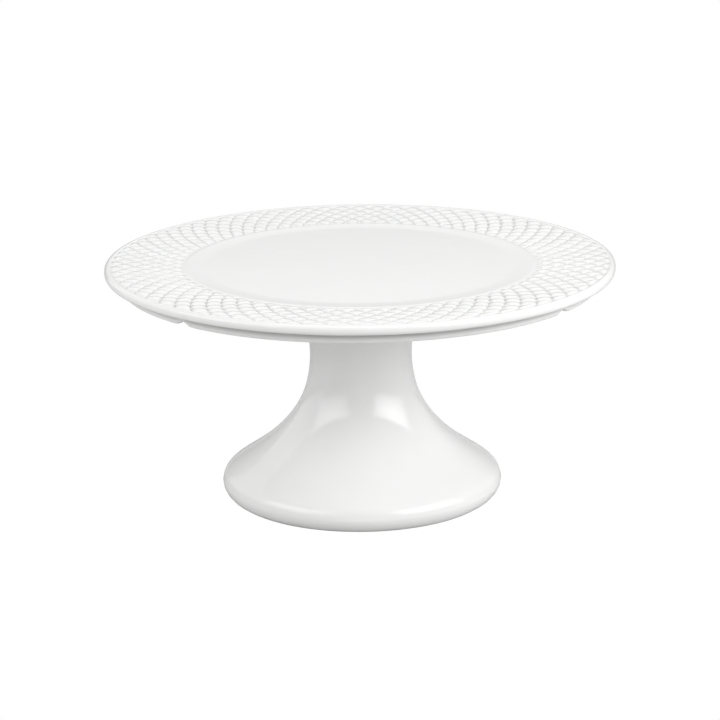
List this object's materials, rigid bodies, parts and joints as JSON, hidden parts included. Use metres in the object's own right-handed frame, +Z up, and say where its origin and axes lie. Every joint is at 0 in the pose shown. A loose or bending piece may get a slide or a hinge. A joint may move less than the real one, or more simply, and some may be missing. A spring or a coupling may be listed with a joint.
{
  "type": "cake stand",
  "caption": "Round pedestal cake stand: a flat plate with a raised bead and a pressed lattice border, on a hollow flared foot bolted on from below.",
  "frame": {"origin": "on the table, at the centre of the foot", "axes": "+Z up along the stand's axis, -Y towards the viewer"},
  "size_m": [0.3, 0.3, 0.1429],
  "materials": {
    "porcelain_plate": "glossy transparent glaze over white porcelain",
    "porcelain_pedestal": "glossy transparent glaze over white porcelain, unglazed ground land under the foot",
    "silicone_gasket": "satin translucent white silicone",
    "insert_brass": "turned brass",
    "cement": "matt grey-white cement",
    "bolt_steel": "plain stainless steel",
    "washer_steel": "plain stainless steel, tumbled",
    "silicone_cushion": "satin grey-white silicone"
  },
  "bodies": {
    "root": {"plate": "porcelain_plate", "pedestal": "porcelain_pedestal", "seat_gasket": "silicone_gasket", "threaded_insert": "insert_brass", "insert_cement": "cement", "clamp_bolt": "bolt_steel", "steel_washer": "washer_steel", "cushion_washer": "silicone_cushion"}
  },
  "joints": []
}
